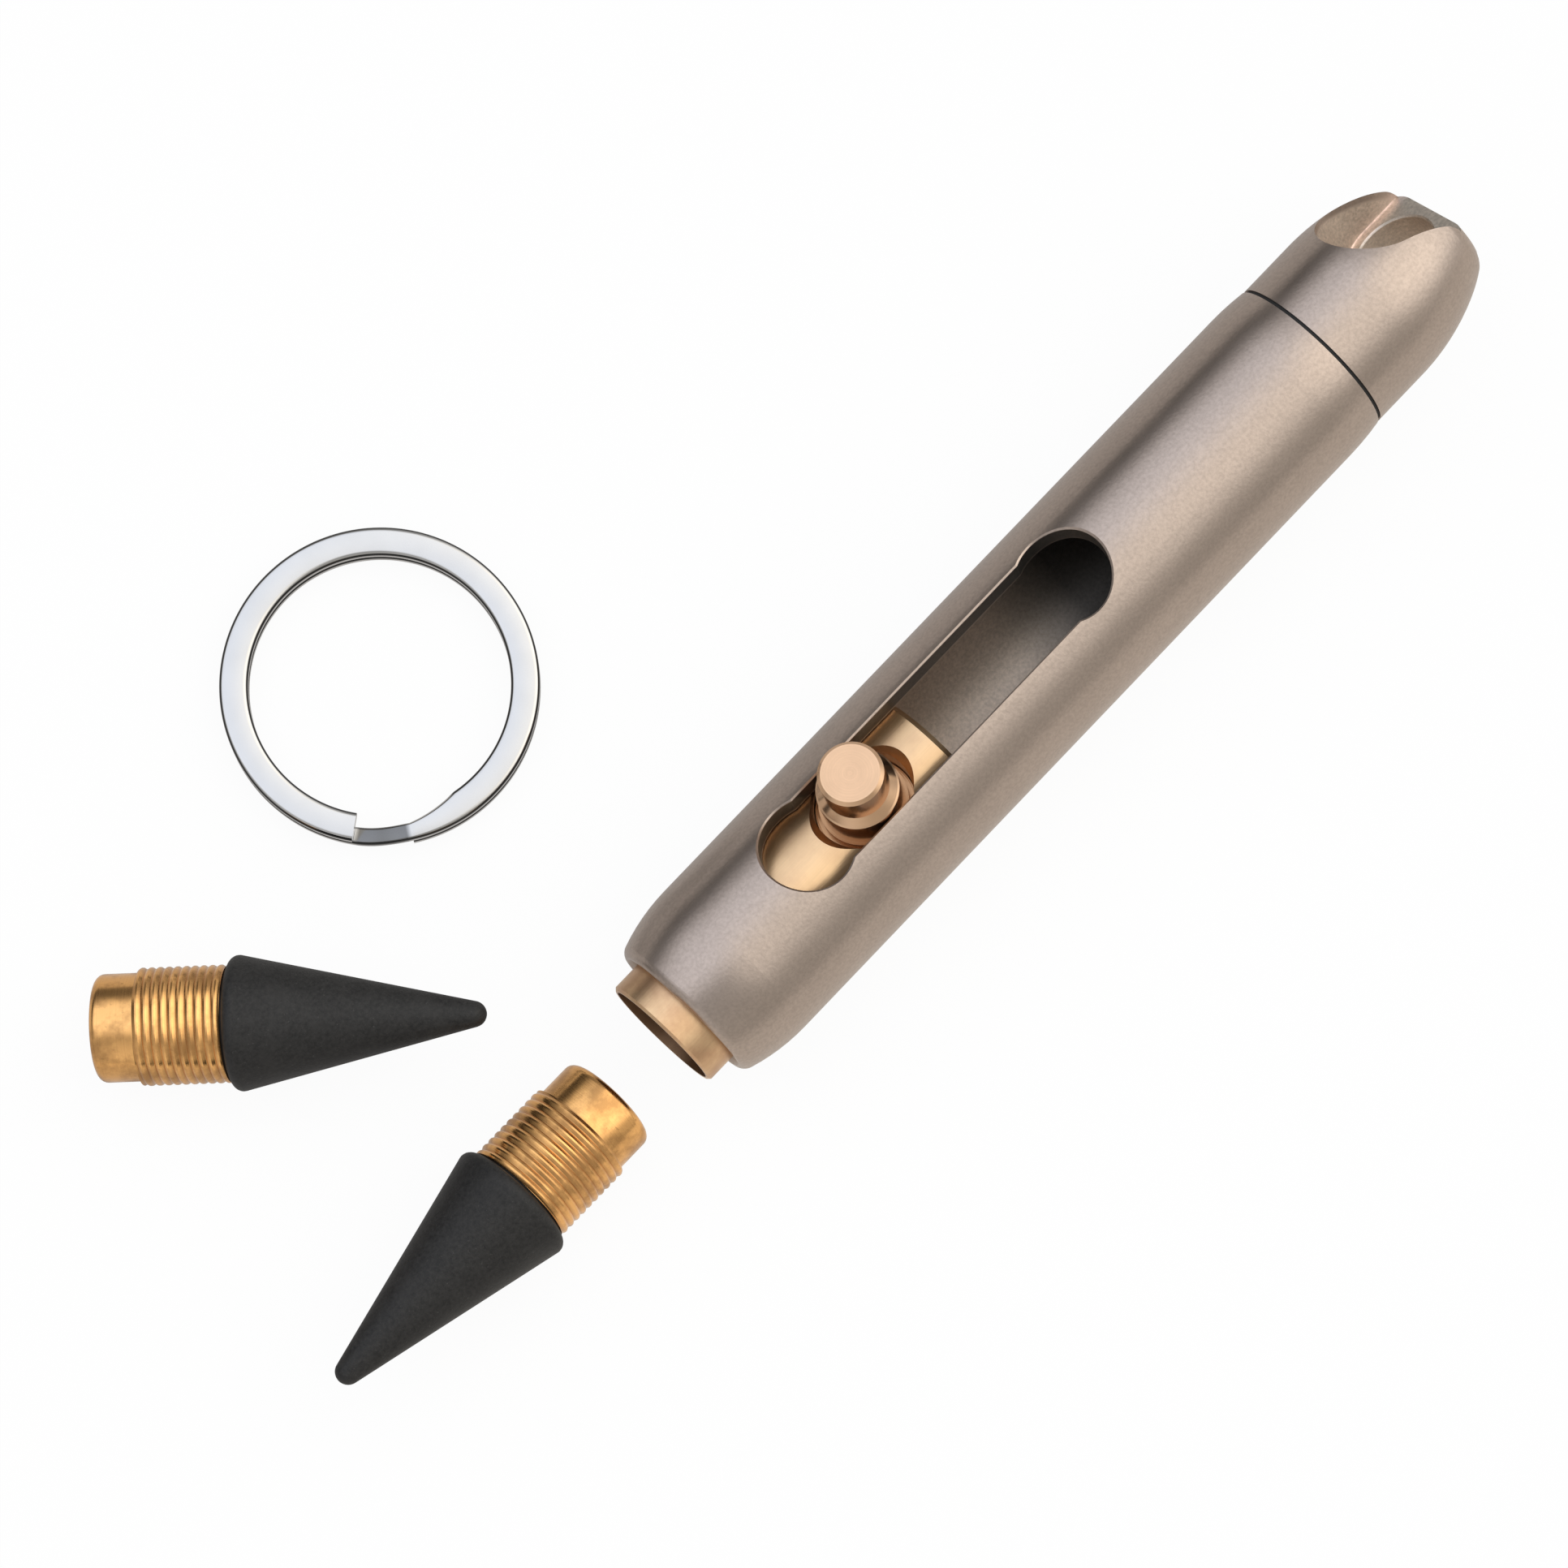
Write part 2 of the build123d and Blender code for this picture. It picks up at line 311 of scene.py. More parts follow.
def blasted_metal(look, name, patches):
    """Bead-blasted titanium: fine pits, a soft sheen and handling marks, with duller patches; some
    patches are painted shade, one a painted highlight.
    """
    material, shader = new_finish(name)
    coordinates = shader.mapped()
    pits = shader.noise(coordinates, scale=5200.0, detail=2.0, roughness=0.6)
    clouds = shader.noise(coordinates, scale=260.0, detail=3.0, roughness=0.55)
    along_grain = shader.mapped(scale=(0.25, 1.0, 1.0))
    marks = shader.noise(along_grain, scale=900.0, detail=4.0, roughness=0.65)
    grains = shader.spread(pits, 0.30, 0.70)
    colour = shader.tones(clouds, look.titanium, 0.92, 1.08)
    pitted = shader.spread(pits, 0.35, 0.70)
    colour = shader.mix(pitted * 0.5, colour, rgba(shade(look.titanium, 0.70)))
    roughness = look.titanium_roughness + marks.swing(0.10) + pits.swing(0.08)
    for find_patch, patch_colour, patch_roughness in patches:
        patch = find_patch(shader)
        grained = shader.tones(grains, patch_colour, 0.84, 1.16)
        colour = shader.mix(patch, colour, grained)
        roughness = roughness + patch_roughness * patch
    shader.surface({
        "Base Color": colour,
        "Metallic": 1.0,
        "Roughness": roughness,
        "Normal": shader.bump(pits + 0.3 * marks, strength=0.16, distance=0.00004),
    })
    return material


def bore_patch(shader):
    """1 in the barrel's bore."""
    return shader.spread(shader.distance_from_x(), *BORE_WALL)


def bore_far_end_shade_patch(shader):
    """1 towards the far end of the slot, where little light gets into the bore and shade is
    painted.
    """
    return bore_patch(shader) * shader.spread(shader.along(X_AXIS), *BORE_FAR_END_SHADE)


def slot_wall_shade_patch(shader):
    """1 on the guide slot's walls, between the bore and the slot's outer edge, where shade is
    painted.
    """
    radius = shader.distance_from_x()
    along = shader.along(X_AXIS)
    behind_start = shader.spread(along, *SLOT_START)
    before_end = shader.spread(along, *SLOT_END)
    under_edge = shader.spread(radius, *SLOT_EDGE)
    above_bore = shader.spread(radius, *SLOT_FOOT)
    return behind_start * before_end * under_edge * above_bore


def seat_patch(shader):
    """1 in the ring seat, a little way under the cap's curve."""
    past_start = shader.along(X_AXIS) - CAP_CURVE_START
    bend = (past_start * (1.0 / CAP_CURVE_LENGTH)).largest(0.0)
    depth = CAP_RADIUS - CAP_CURVE_DROP * bend * bend - shader.distance_from_x()
    return shader.spread(depth, *SEAT_DEPTH)


def web_patch(shader):
    """1 on the face of the ring seat's web."""
    height = shader.along((0.0, math.sin(SEAT_LEAN), math.cos(SEAT_LEAN)))
    above = shader.spread(height, *WEB_FOOT)
    return seat_patch(shader) * above * shader.spread(height, *WEB_TOP)


def web_highlight_patch(shader):
    """1 along one side of the web, where a bright highlight is painted."""
    side = shader.along((0.0, math.cos(SEAT_LEAN), -math.sin(SEAT_LEAN)))
    return web_patch(shader) * shader.spread(side, *WEB_HIGHLIGHT)


def satin_brass(look):
    """Turned brass rubbed along its length, smudged, stained at its mouth, with shade painted in
    its socket.
    """
    material, shader = new_finish("satin_brass")
    along_grain = shader.mapped(scale=(0.03, 1.0, 1.0))
    lines = shader.noise(along_grain, scale=9000.0, detail=3.0, roughness=0.6)
    smudges = shader.noise(shader.mapped(), scale=520.0, detail=4.0, roughness=0.6)
    along = shader.along(X_AXIS)
    colour = shader.tones(lines, look.brass, 0.86, 1.08)
    tarnish = shader.spread(smudges, 0.42, 0.72)
    smudged = shader.mix(tarnish * 0.5, colour, rgba(look.brass_tarnish))
    mouth = shader.spread(along, *MOUTH) * shader.spread(smudges, 0.32, 0.62)
    stained = shader.mix(mouth * 0.55, smudged, rgba(look.brass_stain_and_socket_shade))
    # Painted shade inside the socket, in a darker tone of the stain colour
    socket = shader.spread(shader.distance_from_x(), *SOCKET_WALL)
    socket = socket * shader.spread(along, *SOCKET_FLOOR)
    shader.surface({
        "Base Color": shader.mix(socket * 0.75, stained, rgba(shade(look.brass_stain_and_socket_shade, 0.5))),
        "Metallic": 1.0,
        "Roughness": look.brass_roughness + lines.swing(0.16) + smudges.swing(0.14),
        "Normal": shader.bump(lines, strength=0.18, distance=0.00003),
    })
    return material


def rose_brass(look):
    """Polished rose-toned brass with fine rings around the button's axis, and shade painted low
    down.
    """
    material, shader = new_finish("rose_brass")
    upright = shader.mapped(shift=(-BUTTON_PLACE, 0.0, 0.0), turn=(BUTTON_LEAN, 0.0, 0.0))
    parts = shader.parts(upright)
    radius = across(parts, "X", "Y")
    rings = shader.lines(radius + 0.7 * parts["Z"], scale=9000.0)
    clouds = shader.noise(upright, scale=700.0, detail=3.0, roughness=0.55)
    colour = shader.tones(clouds, look.rose, 0.86, 1.1)
    turned = shader.mix(rings * 0.35, colour, rgba(shade(look.rose, 0.72)))
    # Painted shade low on the button, under its head
    painted_button_shade = shader.spread(parts["Z"], *BUTTON_SHADE)
    shader.surface({
        "Base Color": shader.mix(painted_button_shade * 0.85, turned, rgba(look.rose_shade)),
        "Metallic": 1.0,
        "Roughness": look.rose_roughness + rings.swing(0.14) + clouds.swing(0.12),
        "Normal": shader.bump(rings, strength=0.12, distance=0.00003),
    })
    return material


def polished_brass(look, screw, name, base, axis):
    """Bright turned brass of a screw end: lathe lines, stains, spots, and painted shade between the
    thread's ridges.
    """
    material, shader = new_finish(name)
    place = shader.mapped()
    lathe = shader.lines(shader.along(axis), scale=12000.0)
    stains = shader.noise(place, scale=520.0, detail=4.0, roughness=0.62)
    specks = shader.noise(place, scale=3000.0, detail=3.0, roughness=0.7)
    colour = shader.tones(lathe, look.ferrule, 0.88, 1.1)
    stain = shader.spread(stains, 0.42, 0.62)
    stained = shader.mix(stain * 0.8, colour, rgba(look.ferrule_stain_and_root_shade))
    spots = shader.spread(specks, 0.64, 0.76)
    spotted = shader.mix(spots * 0.5, stained, rgba(shade(look.ferrule_stain_and_root_shade, 0.5)))
    dull = shader.spread(stains, 0.45, 0.8)
    # Painted shade between the thread's ridges
    root_shade = thread_root_shade_patch(shader, screw, base, axis)
    shader.surface({
        "Base Color": shader.mix(root_shade * 0.6, spotted, rgba(look.ferrule_stain_and_root_shade)),
        "Metallic": 1.0,
        "Roughness": look.ferrule_roughness + lathe.swing(0.10) + 0.22 * dull,
        "Normal": shader.bump(lathe + 0.5 * specks, strength=0.12, distance=0.00002),
    })
    return material


def thread_root_shade_patch(shader, screw, base, axis):
    """1 between the ridges of a screw end's thread, whose axis starts at base, where shade is
    painted.
    """
    away = shader.mapped(shift=-base)
    along = shader.dot(away, axis)
    radius = (shader.dot(away, away) - along * along).root()
    crest = screw.thread_diameter / 2
    root = crest - screw.thread_depth
    fade = ROOT_FADE_SHARE * screw.thread_depth
    under_crest = shader.spread(radius, crest - fade, root)
    return under_crest * shader.spread(radius, screw.pilot_diameter / 2, root - fade)


def graphite_alloy(look):
    """Near-black writing alloy: matte and finely grained, with rubbed patches and bright specks."""
    material, shader = new_finish("graphite_alloy")
    place = shader.mapped()
    grain = shader.noise(place, scale=4200.0, detail=4.0, roughness=0.7)
    rubbed = shader.noise(place, scale=700.0, detail=3.0, roughness=0.6)
    specks = shader.noise(place, scale=6500.0, detail=2.0, roughness=0.6)
    coarse = shader.spread(grain, 0.32, 0.68)
    colour = shader.tones(coarse, look.graphite, 0.4, 1.7)
    wear = shader.spread(rubbed, 0.5, 0.8)
    worn = shader.mix(wear * 0.45, colour, rgba(shade(look.graphite, 2.2)))
    bright = shader.spread(specks, 0.66, 0.76)
    shader.surface({
        "Base Color": shader.mix(bright * 0.6, worn, rgba(shade(look.graphite, 4.5))),
        "Metallic": 0.25,
        "Roughness": look.graphite_roughness + grain.swing(0.2),
        "Normal": shader.bump(grain, strength=0.5, distance=0.00006),
    })
    return material


def bright_chrome(look, ring, centre):
    """Bright plated steel of the split ring, with hair scratches, a painted dark reflection along
    its edges and painted shade on its ramp.
    """
    material, shader = new_finish("bright_chrome")
    along_grain = shader.mapped(scale=(1.0, 1.0, 0.1))
    scratches = shader.noise(along_grain, scale=3600.0, detail=4.0, roughness=0.7)
    clouds = shader.noise(shader.mapped(), scale=600.0, detail=2.0, roughness=0.5)
    parts = shader.parts(shader.mapped(shift=(-centre[0], -centre[1], 0.0)))
    radius = across(parts, "X", "Y")
    outer = ring.outer_diameter / 2
    inner = outer - ring.band_width
    # Painted dark reflection along both rounded edges
    edge_reflections = rim_line(shader, outer - radius, ring.edge_radius)
    edge_reflections = edge_reflections.largest(rim_line(shader, radius - inner, ring.edge_radius))
    # Painted shade on the ramp between the turns
    half = ring.ramp_angle / 2
    middle = ring.ramp_start + half
    facing = parts["X"] * math.cos(middle) + parts["Y"] * math.sin(middle)
    ramp = shader.spread(facing - radius * math.cos(half), *RAMP_FADE)
    colour = shader.tones(clouds, look.chrome, 0.94, 1.04)
    shader.surface({
        "Base Color": shader.mix(edge_reflections.largest(0.75 * ramp), colour, rgba(look.ring_painted_dark)),
        "Metallic": 1.0,
        "Roughness": look.chrome_roughness + scratches.swing(0.08),
        "Normal": shader.bump(scratches, strength=0.05, distance=0.00002),
    })
    return material


def rim_line(shader, inset, edge_radius):
    """1 along the middle of a rounded edge, 0 on the sides that meet there."""
    share = inset * (1.0 / edge_radius)
    return shader.spread(share, *RIM_FROM_FACE) * shader.spread(share, *RIM_FROM_SIDE)


def seal_rubber(look):
    """Black rubber of the seal, dusty and matte."""
    material, shader = new_finish("seal_rubber")
    dust = shader.noise(shader.mapped(), scale=3000.0, detail=3.0, roughness=0.6)
    shader.surface({
        "Base Color": shader.tones(dust, look.rubber, 0.7, 1.6),
        "Roughness": 0.7 + dust.swing(0.2),
        "Normal": shader.bump(dust, strength=0.2, distance=0.00003),
    })
    return material


def spring_steel(look):
    """Drawn wire of the button spring."""
    material, shader = new_finish("spring_steel")
    along_grain = shader.mapped(scale=(1.0, 1.0, 0.2))
    drawn = shader.noise(along_grain, scale=5000.0, detail=3.0, roughness=0.6)
    shader.surface({
        "Base Color": shader.tones(drawn, look.steel, 0.85, 1.1),
        "Metallic": 1.0,
        "Roughness": 0.3 + drawn.swing(0.15),
        "Normal": shader.bump(drawn, strength=0.1, distance=0.00003),
    })
    return material


# Properties


def colour_property(name, description, default):
    return bpy.props.FloatVectorProperty(
        name=name, description=description, default=default,
        size=3, subtype="COLOR", min=0.0, max=1.0,
    )


def share_property(name, description, default):
    return bpy.props.FloatProperty(
        name=name, description=description, default=default, subtype="FACTOR", min=0.0, max=1.0
    )


class PencilLook(bpy.types.PropertyGroup):
    """Colours and sheens of the pencil's pieces"""

    titanium: colour_property(
        "Titanium", "Colour of the barrel and the tail cap", (0.48, 0.395, 0.34)
    )
    bore: colour_property("Bore", "Colour of the barrel's dull inside", (0.55, 0.475, 0.41))
    # Painted shade: the colour of the bore's far end, where little light gets in
    bore_far_end_shade: colour_property(
        "Deep Bore", "Colour of the bore's dark far end", (0.125, 0.115, 0.105)
    )
    # Painted shade: the dark colour of the guide slot's walls
    slot_wall_shade: colour_property("Slot Wall", "Colour of the guide slot's walls", (0.16, 0.145, 0.13))
    seat: colour_property("Ring Seat", "Colour of the cap's dull ring seat", (0.58, 0.485, 0.40))
    web: colour_property("Web", "Colour of the ring seat's web", (0.55, 0.49, 0.42))
    # Painted highlight: the bright strip along one side of the web
    rubbed: colour_property("Rubbed Web", "Colour of the web's bright side", (0.86, 0.73, 0.66))
    titanium_roughness: share_property("Titanium Roughness", "Sheen of the blasted metal", 0.33)
    brass: colour_property("Carriage Brass", "Colour of the tip carriage", (0.80, 0.55, 0.32))
    brass_tarnish: colour_property(
        "Carriage Tarnish", "Colour of the carriage's stains", (0.61, 0.39, 0.24)
    )
    # Real stains at the carriage's mouth; a darker tone of this colour is painted shade in its
    # socket
    brass_stain_and_socket_shade: colour_property(
        "Carriage Stain", "Colour of the stains at its mouth", (0.50, 0.28, 0.16)
    )
    brass_roughness: share_property("Carriage Roughness", "Sheen of the carriage", 0.34)
    rose: colour_property("Button Brass", "Colour of the lock button", (0.76, 0.49, 0.30))
    # Painted shade: the dark colour low on the button
    rose_shade: colour_property(
        "Button Stain", "Colour of the grime low on the button", (0.36, 0.19, 0.09)
    )
    rose_roughness: share_property("Button Roughness", "Sheen of the lock button", 0.17)
    ferrule: colour_property("Screw Brass", "Colour of the tips' screw ends", (0.98, 0.51, 0.185))
    # Real stains on the screw ends; the same colour is painted shade between the thread's ridges
    ferrule_stain_and_root_shade: colour_property(
        "Screw Stain", "Colour of the screw ends' stains", (0.46, 0.24, 0.09)
    )
    ferrule_roughness: share_property("Screw Roughness", "Sheen of the screw ends", 0.18)
    graphite: colour_property(
        "Writing Alloy", "Colour of the writing cones", (0.0155, 0.0147, 0.0139)
    )
    graphite_roughness: share_property(
        "Writing Alloy Roughness", "Sheen of the writing cones", 0.58
    )
    chrome: colour_property("Ring Chrome", "Colour of the split ring", (0.60, 0.59, 0.575))
    # Painted dark reflection on the ring's edges, and painted shade on its ramp
    ring_painted_dark: colour_property(
        "Ring Edge", "Colour of the split ring's edges", (0.05, 0.05, 0.05)
    )
    chrome_roughness: share_property("Ring Roughness", "Sheen of the split ring", 0.09)
    rubber: colour_property("Seal Rubber", "Colour of the seal", (0.012, 0.012, 0.012))
    steel: colour_property("Spring Steel", "Colour of the button spring", (0.56, 0.56, 0.57))


def length_property(name, description, default):
    return bpy.props.FloatProperty(
        name=name, description=description, default=default, unit="LENGTH", min=0.0
    )


def angle_property(name, description, degrees):
    return bpy.props.FloatProperty(
        name=name, description=description, default=math.radians(degrees), subtype="ANGLE"
    )


def number_property(name, description, default):
    return bpy.props.FloatProperty(name=name, description=description, default=default)


def aim_property(name, description, default):
    return bpy.props.FloatVectorProperty(
        name=name, description=description, default=default, size=3, subtype="DIRECTION"
    )


class PencilScrew(bpy.types.PropertyGroup):
    """Sizes of the tips' screw ends, and the way the tips lie"""

    thread_diameter: length_property("Thread Diameter", "Width over the thread's crests", 0.0067)
    thread_depth: length_property("Thread Depth", "Height of the thread's ridge", 0.00011)
    thread_pitch: length_property("Thread Pitch", "Distance from crest to crest", 0.0005)
    thread_length: length_property("Thread Length", "Length of the threaded stretch", 0.005)
    neck_length: length_property("Neck Length", "Gap between the cone and the thread", 0.00015)
    pilot_diameter: length_property("Pilot Diameter", "Width of the plain end", 0.00615)
    pilot_length: length_property("Pilot Length", "Length of the plain end", 0.00255)
    pilot_edge: length_property("Pilot Edge", "Radius of the plain end's rim", 0.0005)
    peg_diameter: length_property("Peg Diameter", "Width of the peg that holds the cone", 0.004)
    peg_length: length_property("Peg Length", "How far the peg reaches into the cone", 0.004)
    cone_diameter: length_property("Cone Diameter", "Width of the writing cone at its base", 0.008)
    cone_length: length_property("Cone Length", "Length of the writing cone", 0.01455)
    front_heading: angle_property(
        "Front Heading", "Way the front tip's point looks, from +X", 180.5
    )
    spare_heading: angle_property(
        "Spare Heading", "Way the spare tip's point looks, from +X", -45.3
    )


class PencilRing(bpy.types.PropertyGroup):
    """Sizes of the split key ring"""

    outer_diameter: length_property("Outer Diameter", "Width over the whole ring", 0.01834)
    band_width: length_property("Band Width", "Width of the band, seen from above", 0.00166)
    turn_thickness: length_property("Turn Thickness", "Thickness of one turn", 0.00085)
    turn_gap: length_property("Turn Gap", "Gap between the turns", 0.0001)
    edge_radius: length_property("Edge Radius", "Rounding of the band's edges", 0.0003)
    joint_width: length_property("Joint Width", "Width of the band where the turns join", 0.001)
    ramp_start: angle_property(
        "Ramp Start", "Where the lower turn starts to climb, from +X", -146.0
    )
    ramp_angle: angle_property("Ramp Angle", "How far round the climb takes", 22.0)
    taper_angle: angle_property("Taper Angle", "How far round the narrowing takes", 22.0)


class PencilSpring(bpy.types.PropertyGroup):
    """Sizes of the spring under the lock button, along the button's axis"""

    wire_diameter: length_property("Wire Diameter", "Width of the wire", 0.00045)
    mean_diameter: length_property("Mean Diameter", "Width of the coil, from wire to wire", 0.004)
    half_turns: bpy.props.IntProperty(
        name="Half Turns", description="Half turns of the coil", default=7, min=2
    )
    floor_height: bpy.props.FloatProperty(
        name="Floor Height", description="Where the recess's floor lies, from the pencil's axis",
        default=-0.0026, unit="LENGTH",
    )
    height: length_property("Height", "Height of the coil at rest", 0.00355)
    press: length_property("Press", "How far the button squeezes the coil", 0.00062)


class PencilStudio(bpy.types.PropertyGroup):
    """Camera, floor and light of the pencil's studio"""

    camera_place: bpy.props.FloatVectorProperty(
        name="Camera Place", description="Where the camera stands",
        default=(-0.03791, -0.04539, 0.44822), size=3, subtype="TRANSLATION", unit="LENGTH",
    )
    camera_elevation: angle_property("Camera Elevation", "How far the camera looks down", 80.746)
    camera_heading: angle_property(
        "Camera Heading", "Which way the camera looks across the floor, from +X", 43.456
    )
    floor_size: length_property("Floor Size", "Side of the square floor", 3.0)
    floor_left: colour_property(
        "Floor Left", "Floor left of the pencil, as metal mirrors it", (0.56, 0.54, 0.52)
    )
    floor_right: colour_property(
        "Floor Right", "Floor right of the pencil, as metal mirrors it", (0.81, 0.765, 0.70)
    )
    floor_blend: length_property("Floor Blend", "How far the one fades into the other", 0.004)
    fill: number_property("Fill Light", "Strength of the light all round", 0.29)
    fill_lean: number_property(
        "Fill Lean", "How much more of that light comes from the right", 0.27
    )
    end_fill: number_property("End Fill", "How much more of that light comes along the pencil", 0.5)
    horizon_height: angle_property(
        "Horizon Height", "How high the dark band along the floor's edge reaches", 10.0
    )
    horizon_dim: share_property("Horizon Dimming", "How dark that band gets", 0.4)
    left_aim: aim_property("Left Box", "Where the left soft box hangs", (-0.10, 0.50, 0.86))
    left_strength: number_property("Left Box Strength", "How bright the left soft box is", 1.25)
    left_tint: colour_property("Left Box Tint", "Colour of the left soft box", (0.85, 0.90, 1.0))
    right_aim: aim_property("Right Box", "Where the right soft box hangs", (0.62, -0.28, 0.85))
    right_strength: number_property("Right Box Strength", "How bright the right soft box is", 1.34)
    right_tint: colour_property(
        "Right Box Tint", "Colour of the right soft box", (1.0, 0.965, 0.90)
    )
    box_spread: angle_property("Box Spread", "How far from its middle a soft box fades out", 48.0)
    box_core: angle_property(
        "Box Core", "How far from its middle a soft box is at full strength", 14.0
    )


# Operators


class PENCIL_OT_body(bpy.types.Operator):
    """Finish the barrel, the tail cap and the seal between them"""

    bl_idname = "pencil.finish_body"
    bl_label = "Finish Barrel and Cap"

    def execute(self, context):
        look = context.scene.pencil_look
        bore = (bore_patch, look.bore, 0.25)
        # Painted shade in the bore's far end
        deep = (bore_far_end_shade_patch, look.bore_far_end_shade, 0.0)
        # Painted shade on the slot's walls
        walls = (slot_wall_shade_patch, look.slot_wall_shade, 0.15)
        seat = (seat_patch, look.seat, 0.25)
        web = (web_patch, look.web, 0.0)
        # Painted highlight along one side of the web
        rubbed = (web_highlight_patch, look.rubbed, -0.2)
        dress(blasted_metal(look, "blasted_barrel", (bore, deep, walls)), "barrel")
        dress(blasted_metal(look, "blasted_cap", (seat, web, rubbed)), "tail_cap")
        dress(seal_rubber(look), "cap_seal")
        return {"FINISHED"}


class PENCIL_OT_carriage(bpy.types.Operator):
    """Finish the tip carriage, the lock button and its spring"""

    bl_idname = "pencil.finish_carriage"
    bl_label = "Finish Carriage and Button"

    def execute(self, context):
        look = context.scene.pencil_look
        dress(satin_brass(look), "carriage")
        dress(rose_brass(look), "lock_collar", "button_head")
        spring = context.scene.pencil_spring
        coil = wind_spring(spring)
        coil.name = "coil_spring"
        coil.data.materials.append(spring_steel(look))
        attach(coil, "carriage")
        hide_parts("button_spring")
        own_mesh(coil)
        return {"FINISHED"}


def pick(piece):
    """Make a piece the only one that operators act on."""
    bpy.ops.object.select_all(action="DESELECT")
    piece.select_set(True)
    bpy.context.view_layer.objects.active = piece


def wind_up(piece, angle, rise, steps, repeats=1):
    """Wind the active piece's outline round Z, and go on in edit mode."""
    wind = piece.modifiers.new("wind", "SCREW")
    wind.axis = "Z"
    wind.angle = angle
    wind.iterations = repeats
    wind.screw_offset = rise
    wind.steps = wind.render_steps = steps
    bpy.ops.object.modifier_apply(modifier=wind.name)
    bpy.ops.object.mode_set(mode="EDIT")
    bpy.ops.mesh.select_all(action="SELECT")
    bpy.ops.mesh.remove_doubles(threshold=MERGE_DISTANCE)


def close_mesh():
    """Merge doubled points, turn the faces outward and leave edit mode."""
    bpy.ops.mesh.select_all(action="SELECT")
    bpy.ops.mesh.remove_doubles(threshold=MERGE_DISTANCE)
    bpy.ops.mesh.normals_make_consistent(inside=False)
    bpy.ops.object.mode_set(mode="OBJECT")


def wind_spring(spring):
    """A round wire wound up from the floor of the carriage's recess."""
    bpy.ops.object.select_all(action="DESELECT")
    start = (spring.mean_diameter / 2, 0.0, spring.floor_height + spring.wire_diameter / 2)
    bpy.ops.mesh.primitive_circle_add(
        vertices=WIRE_STEPS, radius=spring.wire_diameter / 2,
        location=start, rotation=(math.pi / 2, 0.0, 0.0),
    )
    bpy.ops.object.transform_apply(location=True, rotation=True)
    coil = bpy.context.active_object
    rise = (spring.height - spring.wire_diameter) / spring.half_turns
    wind_up(coil, math.pi, rise, ROUND_STEPS // 2, spring.half_turns)
    bpy.ops.mesh.fill_holes(sides=0)
    close_mesh()
    bpy.ops.object.shade_smooth_by_angle(angle=SMOOTH_WIRE)
    coil.rotation_euler.x = -BUTTON_LEAN
    coil.location.x = BUTTON_PLACE
    bpy.ops.object.transform_apply(location=True, rotation=True)
    return coil


class PENCIL_OT_tips(bpy.types.Operator):
    """Finish the two screw-in tips"""

    bl_idname = "pencil.finish_tips"
    bl_label = "Finish Tips"

    def execute(self, context):
        look = context.scene.pencil_look
        screw = context.scene.pencil_screw
        dress(graphite_alloy(look), "front_tip_cone", "spare_tip_cone")
        headings = {"front_tip": screw.front_heading, "spare_tip": screw.spare_heading}
        for tip, heading in headings.items():
            ferrule = make_screw_end(screw)
            ferrule.name = f"{tip}_screw"
            base, axis = lay_screw_end(ferrule, screw, tip, heading)
            brass = polished_brass(look, screw, ferrule.name, base, axis)
            ferrule.data.materials.append(brass)
            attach(ferrule, tip)
            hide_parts(f"{tip}_ferrule")
        return {"FINISHED"}


def make_screw_end(screw):
    """A turned brass core with a threaded sleeve on it, upright with the cone's base at zero."""
    core = make_screw_core(screw)
    sleeve = wind_thread(screw)
    pick(core)
    union = core.modifiers.new("threaded_sleeve", "BOOLEAN")
    union.operation = "UNION"
    union.solver = "EXACT"
    union.object = sleeve
    bpy.ops.object.modifier_apply(modifier=union.name)
    bpy.data.objects.remove(sleeve)
    bpy.ops.object.shade_smooth_by_angle(angle=SMOOTH_SCREW)
    return core


def make_screw_core(screw):
    """Peg and plain end, drawn up ring by ring from the peg's end, as a lathe would turn them."""
    pilot = screw.pilot_diameter / 2
    end = screw.neck_length + screw.thread_length + screw.pilot_length
    peg = screw.peg_diameter / 2
    middle = screw.neck_length + screw.thread_length / 2
    rings = [(middle, peg), (middle, pilot)]
    for step in range(EDGE_STEPS + 1):
        turn = math.pi / 2 * step / EDGE_STEPS
        height = end - screw.pilot_edge * (1.0 - math.sin(turn))
        rings.append((height, pilot - screw.pilot_edge * (1.0 - math.cos(turn))))
    bpy.ops.object.select_all(action="DESELECT")
    start = (0.0, 0.0, -screw.peg_length)
    bpy.ops.mesh.primitive_circle_add(
        vertices=ROUND_STEPS, radius=peg, fill_type="NGON", location=start
    )
    bpy.ops.object.transform_apply(location=True)
    bpy.ops.object.mode_set(mode="EDIT")
    bpy.ops.mesh.select_all(action="SELECT")
    last_height, last_radius = -screw.peg_length, peg
    for height, radius in rings:
        shift = (0.0, 0.0, height - last_height)
        bpy.ops.mesh.extrude_region_move(TRANSFORM_OT_translate={"value": shift})
        grow = radius / last_radius
        bpy.ops.transform.resize(value=(grow, grow, 1.0), center_override=(0.0, 0.0, height))
        last_height, last_radius = height, radius
    close_mesh()
    return bpy.context.active_object


